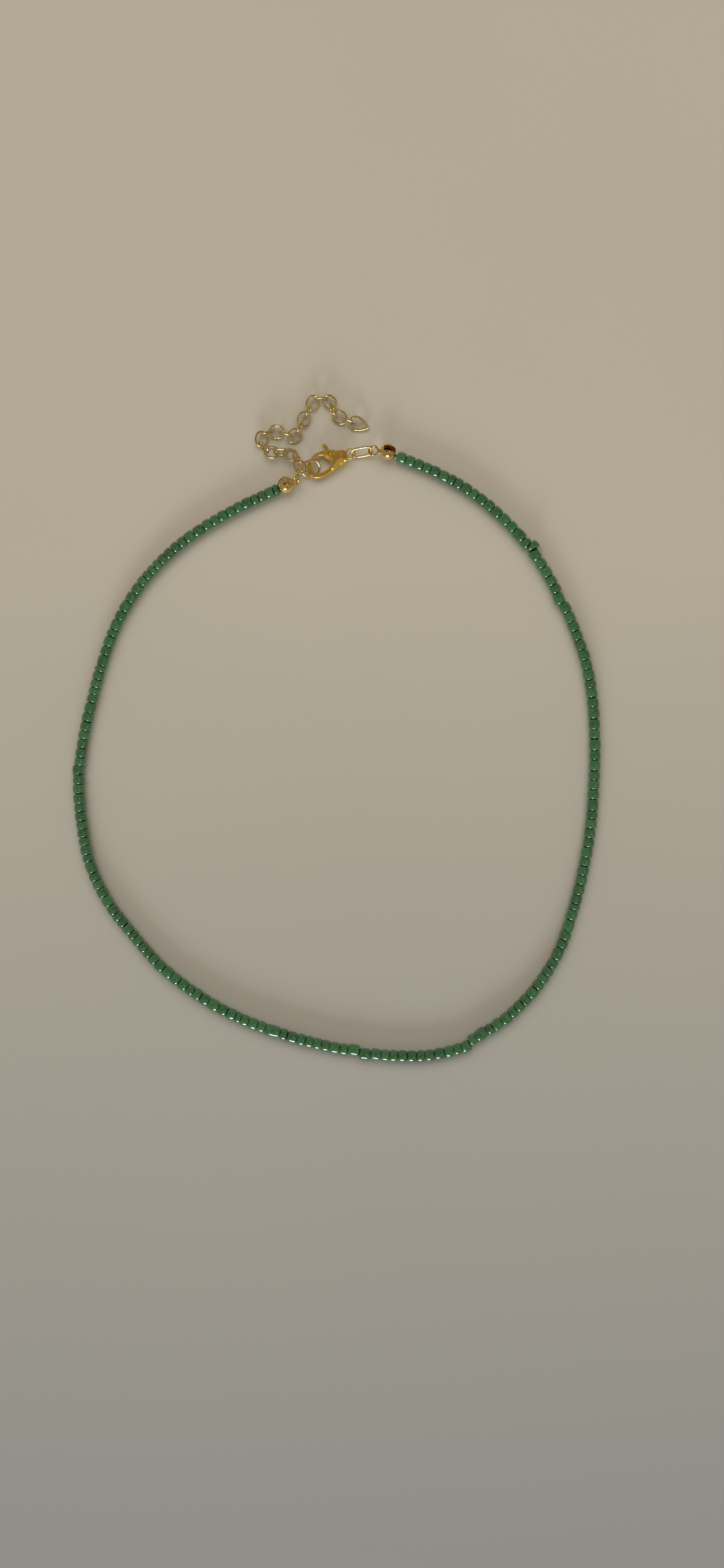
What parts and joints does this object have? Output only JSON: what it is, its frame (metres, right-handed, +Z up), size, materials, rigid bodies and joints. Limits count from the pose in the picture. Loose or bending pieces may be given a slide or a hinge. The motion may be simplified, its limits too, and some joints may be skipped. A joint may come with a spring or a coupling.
{
  "type": "beaded necklace",
  "caption": "Choker of dark green seed beads lying closed, with gold bead tips, a lobster clasp and an extender chain that ends in a small open teardrop.",
  "frame": {"origin": "on the table, under the middle of the necklace's bounding box", "axes": "+Z up from the table, +Y from the bottom of the loop to the clasp and chain, +X to the right"},
  "size_m": [0.1226, 0.1554, 0.0049],
  "materials": {
    "bead_glass": "opaque lustre glass, glossy",
    "tip_gold": "bright gold plate",
    "ring_gold": "bright gold plate",
    "clasp_gold": "satin cast gold plate",
    "chain_gold": "bright gold plate"
  },
  "bodies": {
    "necklace": {"bead_strand": "bead_glass", "right_bead_tip": "tip_gold", "left_bead_tip": "tip_gold", "left_jump_ring": "ring_gold", "clasp_jump_ring": "ring_gold", "right_jump_ring": "ring_gold", "clasp_body": "clasp_gold", "clasp_pivot": "clasp_gold", "chain_link_01": "chain_gold", "chain_link_02": "chain_gold", "chain_link_03": "chain_gold", "chain_link_04": "chain_gold", "chain_link_05": "chain_gold", "chain_link_06": "chain_gold", "chain_link_07": "chain_gold", "chain_link_08": "chain_gold", "chain_link_09": "chain_gold", "chain_link_10": "chain_gold", "chain_link_11": "chain_gold", "chain_link_12": "chain_gold", "chain_link_13": "chain_gold", "chain_link_14": "chain_gold", "chain_link_15": "chain_gold", "chain_link_16": "chain_gold", "chain_link_17": "chain_gold", "chain_link_18": "chain_gold", "chain_link_19": "chain_gold", "chain_link_20": "chain_gold", "end_drop": "chain_gold"},
    "trigger": {"clasp_lever": "clasp_gold"}
  },
  "joints": [
    {"name": "trigger_hinge", "type": "hinge", "parent": "necklace", "child": "trigger", "pos_m": [-0.00153, 0.06366, 0.00135], "axis": [0, 0, 1], "range_deg": [0, 20], "stiffness_Nm_per_rad": 0.004, "springref_deg": -17.19}
  ]
}
